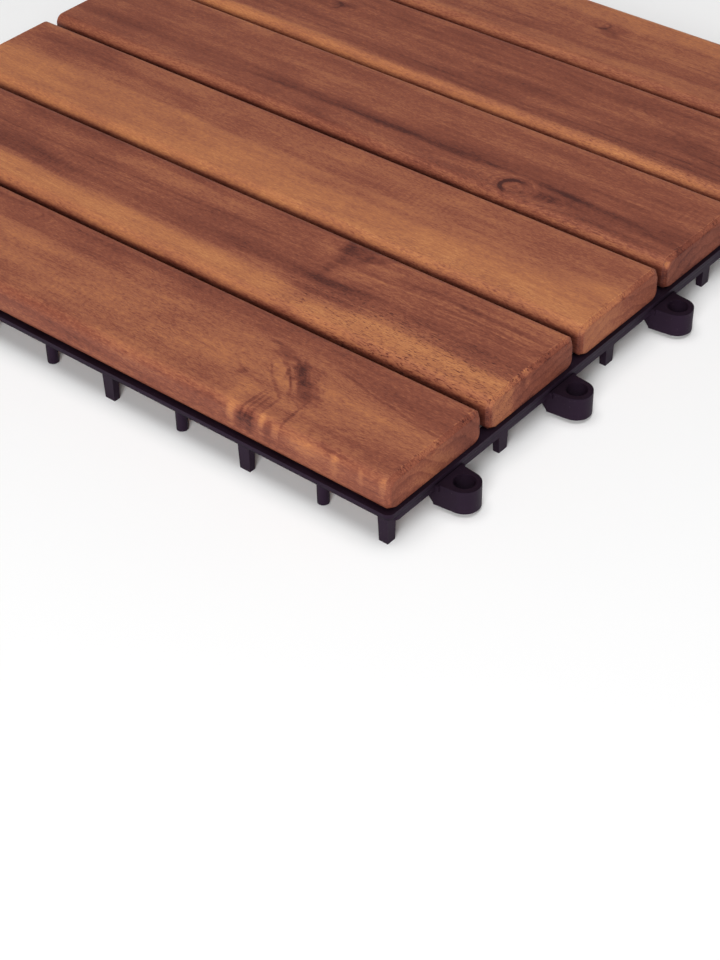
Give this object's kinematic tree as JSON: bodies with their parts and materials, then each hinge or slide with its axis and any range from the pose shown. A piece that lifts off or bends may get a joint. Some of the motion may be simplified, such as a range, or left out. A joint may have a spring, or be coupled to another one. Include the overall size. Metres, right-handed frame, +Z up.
{
  "type": "interlocking deck tile",
  "caption": "Square outdoor floor tile: hardwood slats on a moulded plastic grid, with pegs and eyelets along its sides that join it to the next tiles.",
  "frame": {"origin": "on the ground under the middle of the grid, at the middle foot's underside", "axes": "+Z up, slats along X; eyelets stand out from the +X and +Y sides, pegs hang under the rim of the -X and -Y sides"},
  "size_m": [0.3104, 0.3104, 0.024],
  "materials": {
    "grid": "black, fine moulded texture",
    "slats": "oiled reddish-brown hardwood, planed",
    "screws": "zinc-plated"
  },
  "bodies": {
    "root": {"base_grid": "grid", "slat_1": "slats", "slat_2": "slats", "slat_3": "slats", "slat_4": "slats", "slat_5": "slats", "slat_6": "slats", "screws": "screws"}
  },
  "joints": []
}
